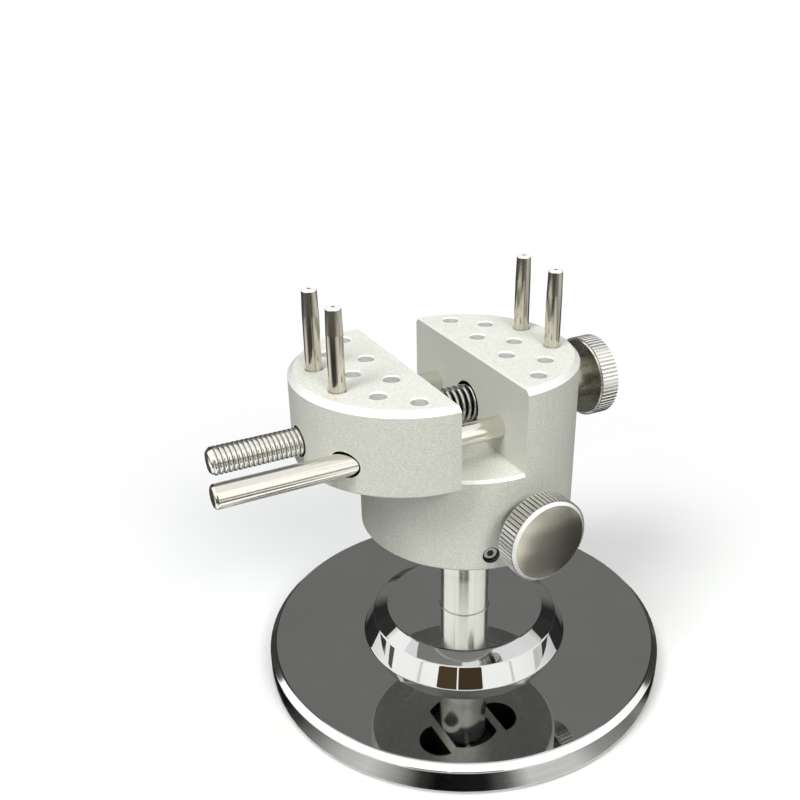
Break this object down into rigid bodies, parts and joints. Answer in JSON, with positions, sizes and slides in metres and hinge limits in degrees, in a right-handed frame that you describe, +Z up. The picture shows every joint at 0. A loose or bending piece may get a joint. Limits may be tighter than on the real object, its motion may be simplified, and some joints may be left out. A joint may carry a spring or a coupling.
{
  "type": "hobby vise",
  "caption": "Small round-headed bench vise that swivels on a post above a heavy round base, with a screw-driven sliding jaw and plug-in anti-pinch pins.",
  "frame": {"origin": "middle of the flat underside of the base, on the swivel axis of the head", "axes": "+Z up along the post; X along the lead screw, with the screw's knob and the fixed jaw towards +X and the sliding jaw towards -X; the lock knob is on the -Y side"},
  "size_m": [0.112, 0.0982, 0.1006],
  "materials": {
    "chrome": "polished",
    "steel": "polished",
    "spring_steel": "bright",
    "aluminium": "bead blasted and anodised",
    "brass": "turned",
    "dark_steel": "black oxide",
    "rubber": "matte",
    "acetal": "satin"
  },
  "bodies": {
    "stand": {"base": "chrome", "anti_slip_pad": "rubber", "post": "steel", "post_screw": "dark_steel", "post_screw_washer": "dark_steel"},
    "head": {"vise_body": "aluminium", "thrust_pad": "acetal", "retaining_grub_screw": "dark_steel", "guide_rod_front": "steel", "guide_rod_rear": "steel", "screw_thrust_washer": "brass", "spring": "spring_steel"},
    "sliding_jaw": {"movable_jaw": "aluminium"},
    "screw": {"lead_screw": "steel", "screw_knob": "steel"},
    "lock_slider": {"lock_tip": "brass"},
    "lock": {"lock_knob": "steel", "lock_stud": "steel"},
    "fixed_pin_front": {"fixed_jaw_pin_front": "steel"},
    "fixed_pin_rear": {"fixed_jaw_pin_rear": "steel"},
    "sliding_pin_front": {"movable_jaw_pin_front": "steel"},
    "sliding_pin_rear": {"movable_jaw_pin_rear": "steel"}
  },
  "joints": [
    {"name": "head_swivel", "type": "hinge", "parent": "stand", "child": "head", "pos_m": [0, 0, 0.05], "axis": [0, 0, 1], "continuous": true},
    {"name": "screw_turn", "type": "hinge", "parent": "head", "child": "screw", "pos_m": [0, 0, 0.07015], "axis": [1, 0, 0], "range_deg": [-5581, 4465]},
    {"name": "jaw_slide", "type": "slide", "parent": "head", "child": "sliding_jaw", "axis": [1, 0, 0], "range_m": [-0.0124, 0.0155], "deforming": ["spring"]},
    {"name": "lock_travel", "type": "slide", "parent": "head", "child": "lock_slider", "axis": [0.0349, -0.9994, 0], "range_m": [-0.0001, 0.002]},
    {"name": "lock_turn", "type": "hinge", "parent": "lock_slider", "child": "lock", "pos_m": [0, 0, 0.0511], "axis": [0.0349, -0.9994, 0], "range_deg": [-37, 721]},
    {"name": "fixed_pin_front_lift", "type": "slide", "parent": "head", "child": "fixed_pin_front", "axis": [0, 0, 1], "range_m": [0, 0.012]},
    {"name": "fixed_pin_rear_lift", "type": "slide", "parent": "head", "child": "fixed_pin_rear", "axis": [0, 0, 1], "range_m": [0, 0.012]},
    {"name": "sliding_pin_front_lift", "type": "slide", "parent": "sliding_jaw", "child": "sliding_pin_front", "axis": [0, 0, 1], "range_m": [0, 0.012]},
    {"name": "sliding_pin_rear_lift", "type": "slide", "parent": "sliding_jaw", "child": "sliding_pin_rear", "axis": [0, 0, 1], "range_m": [0, 0.012]}
  ],
  "couplings": [
    {"joint": "screw_turn", "follows": "jaw_slide", "rad_per_m": -6283.2},
    {"joint": "lock_turn", "follows": "lock_travel", "rad_per_m": 6283.2}
  ]
}
